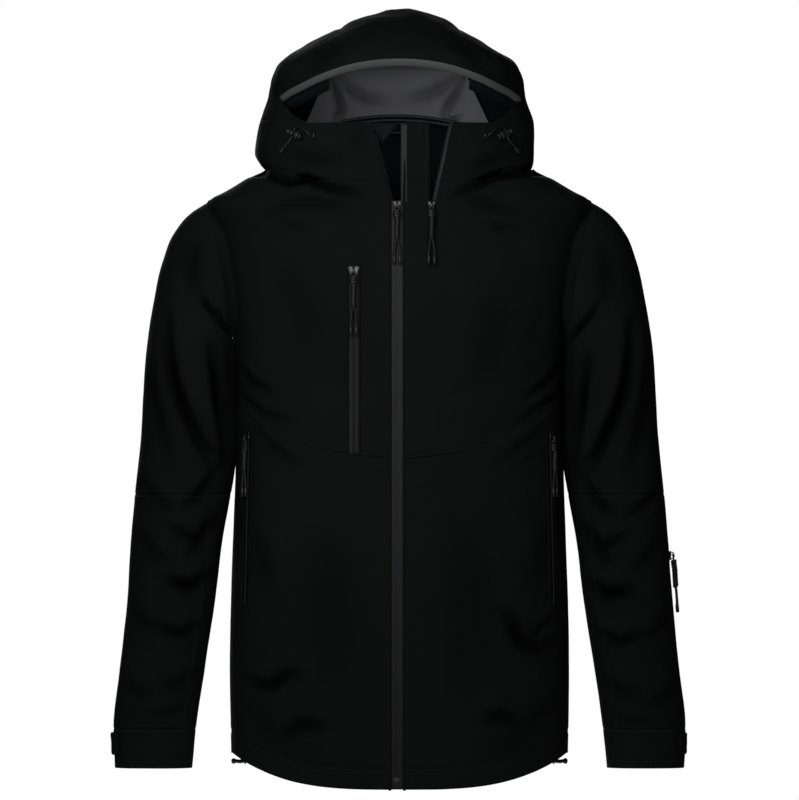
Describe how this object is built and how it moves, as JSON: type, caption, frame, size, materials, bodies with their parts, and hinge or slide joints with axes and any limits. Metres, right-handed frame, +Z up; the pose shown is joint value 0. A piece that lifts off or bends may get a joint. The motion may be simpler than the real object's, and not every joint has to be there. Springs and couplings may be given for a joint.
{
  "type": "hardshell jacket",
  "caption": "Hooded waterproof shell jacket in black with a peaked hood, long sleeves, front and pocket zips with cord pulls, cuff tabs and hood drawcords.",
  "frame": {"origin": "middle of the underside of the hanger loop's free strap, inside the back of the collar", "axes": "+Z up, front towards -Y, the wearer's left towards +X"},
  "size_m": [0.7244, 0.2796, 0.981],
  "materials": {
    "shell": "matt black three-layer laminate with a fine plain weave",
    "lining": "grey knitted backer, slightly satin",
    "zip_tape": "charcoal coated zip tape, semi matt",
    "dark_metal": "dark gunmetal, satin",
    "cord": "black braided cord",
    "black_plastic": "fine textured black plastic",
    "grey_plastic": "grey satin plastic",
    "webbing": "ribbed grey webbing"
  },
  "bodies": {
    "jacket_shell": {"front_chest_left": "shell", "front_chest_right": "shell", "front_lower_left": "shell", "front_lower_right": "shell", "back_yoke": "shell", "back_panel": "shell", "collar_right": "shell", "collar_left": "shell", "collar_placket": "shell", "hood_peak": "shell", "hood_centre": "shell", "hood_side_left": "shell", "hood_side_right": "shell", "hood_lining": "lining", "neck_tape": "lining", "storm_flap": "shell", "chest_pocket_bag": "lining", "hand_pocket_bag_left": "lining", "hand_pocket_bag_right": "lining", "main_zip_tape": "zip_tape", "neck_zip_tape": "zip_tape", "chest_pocket_zip_tape": "zip_tape", "hand_pocket_left_zip_tape": "zip_tape", "hand_pocket_right_zip_tape": "zip_tape", "main_zip_box": "dark_metal", "hood_lock_left": "black_plastic", "hood_lock_right": "black_plastic", "hood_drawcord_left": "cord", "hood_drawcord_right": "cord", "hood_drawcord_stopper_left": "black_plastic", "hood_drawcord_stopper_right": "black_plastic", "hood_eyelet_left": "dark_metal", "hood_eyelet_right": "dark_metal", "hem_grip_left": "black_plastic", "hem_grip_right": "black_plastic", "hanger_loop": "webbing"},
    "left_sleeve": {"upper_sleeve_left": "shell", "forearm_left": "shell", "cuff_left": "shell", "sleeve_pocket_zip_tape": "zip_tape"},
    "right_sleeve": {"upper_sleeve_right": "shell", "forearm_right": "shell", "cuff_right": "shell"},
    "main_slider": {"main_zip_slider": "dark_metal"},
    "main_pull": {"main_zip_pull": "cord"},
    "neck_slider": {"neck_zip_slider": "dark_metal"},
    "neck_pull": {"neck_zip_pull": "cord"},
    "chest_pocket_slider": {"chest_pocket_zip_slider": "dark_metal"},
    "chest_pocket_pull": {"chest_pocket_zip_pull": "cord"},
    "sleeve_pocket_slider": {"sleeve_pocket_zip_slider": "dark_metal"},
    "sleeve_pocket_pull": {"sleeve_pocket_zip_pull": "cord"},
    "hand_pocket_left_slider": {"hand_pocket_left_zip_slider": "dark_metal"},
    "hand_pocket_left_pull": {"hand_pocket_left_zip_pull": "cord"},
    "hand_pocket_right_slider": {"hand_pocket_right_zip_slider": "dark_metal"},
    "hand_pocket_right_pull": {"hand_pocket_right_zip_pull": "cord"},
    "hood_left_button": {"hood_lock_button_left": "grey_plastic"},
    "cuff_tab_left": {"cuff_tab_left": "shell"},
    "hood_right_button": {"hood_lock_button_right": "grey_plastic"},
    "cuff_tab_right": {"cuff_tab_right": "shell"}
  },
  "joints": [
    {"name": "left_sleeve_swing", "type": "hinge", "parent": "jacket_shell", "child": "left_sleeve", "pos_m": [0.241, -0.10308, -0.082], "axis": [0, -1, 0], "range_deg": [0, 30]},
    {"name": "right_sleeve_swing", "type": "hinge", "parent": "jacket_shell", "child": "right_sleeve", "pos_m": [-0.241, -0.10308, -0.082], "axis": [0, 1, 0], "range_deg": [0, 30]},
    {"name": "main_zip_slide", "type": "slide", "parent": "jacket_shell", "child": "main_slider", "axis": [0, 0.04, 0.9992], "range_m": [-0.7, 0]},
    {"name": "main_pull_swing", "type": "hinge", "parent": "main_slider", "child": "main_pull", "pos_m": [-0.003, -0.22285, -0.0948], "axis": [-1, 0.0008, 0], "range_deg": [0, 120]},
    {"name": "neck_zip_slide", "type": "slide", "parent": "jacket_shell", "child": "neck_slider", "axis": [0, 0.0382, 0.9993], "range_m": [-0.066, 0]},
    {"name": "neck_pull_swing", "type": "hinge", "parent": "neck_slider", "child": "neck_pull", "pos_m": [0.04015, -0.22247, -0.09481], "axis": [-0.9996, -0.0295, 0.0011], "range_deg": [0, 120]},
    {"name": "chest_pocket_zip_slide", "type": "slide", "parent": "jacket_shell", "child": "chest_pocket_slider", "axis": [0, 0.0383, 0.9993], "range_m": [-0.218, 0]},
    {"name": "chest_pocket_pull_swing", "type": "hinge", "parent": "chest_pocket_slider", "child": "chest_pocket_pull", "pos_m": [-0.05756, -0.22714, -0.17772], "axis": [-0.9971, 0.0758, -0.0029], "range_deg": [0, 120]},
    {"name": "sleeve_pocket_zip_slide", "type": "slide", "parent": "left_sleeve", "child": "sleeve_pocket_slider", "axis": [-0.0922, 0.0123, 0.9957], "range_m": [-0.128, 0.006]},
    {"name": "sleeve_pocket_pull_swing", "type": "hinge", "parent": "sleeve_pocket_slider", "child": "sleeve_pocket_pull", "pos_m": [0.34722, -0.11233, -0.53332], "axis": [-0.0011, -0.9999, 0.0122], "range_deg": [0, 120]},
    {"name": "hand_pocket_left_zip_slide", "type": "slide", "parent": "jacket_shell", "child": "hand_pocket_left_slider", "axis": [-0.0233, 0.0357, 0.9991], "range_m": [-0.198, 0.004]},
    {"name": "hand_pocket_left_pull_swing", "type": "hinge", "parent": "hand_pocket_left_slider", "child": "hand_pocket_left_pull", "pos_m": [0.19356, -0.17866, -0.3877], "axis": [-0.6048, -0.7962, 0.0143], "range_deg": [0, 120]},
    {"name": "hand_pocket_right_zip_slide", "type": "slide", "parent": "jacket_shell", "child": "hand_pocket_right_slider", "axis": [0.0233, 0.0357, 0.9991], "range_m": [-0.198, 0.004]},
    {"name": "hand_pocket_right_pull_swing", "type": "hinge", "parent": "hand_pocket_right_slider", "child": "hand_pocket_right_pull", "pos_m": [-0.19356, -0.17866, -0.3877], "axis": [-0.6048, 0.7962, -0.0143], "range_deg": [0, 120]},
    {"name": "hood_left_button_press", "type": "slide", "parent": "jacket_shell", "child": "hood_left_button", "axis": [-0.7873, -0.4956, -0.3667], "range_m": [0, 0.0025], "stiffness_N_per_m": 600, "springref_m": -0.003},
    {"name": "cuff_tab_left_peel", "type": "hinge", "parent": "left_sleeve", "child": "cuff_tab_left", "pos_m": [0.318, -0.06358, -0.77], "axis": [0, 0, 1], "range_deg": [0, 60]},
    {"name": "hood_right_button_press", "type": "slide", "parent": "jacket_shell", "child": "hood_right_button", "axis": [0.7873, -0.4956, -0.3667], "range_m": [0, 0.0025], "stiffness_N_per_m": 600, "springref_m": -0.003},
    {"name": "cuff_tab_right_peel", "type": "hinge", "parent": "right_sleeve", "child": "cuff_tab_right", "pos_m": [-0.318, -0.06358, -0.77], "axis": [0, 0, -1], "range_deg": [0, 60]}
  ]
}
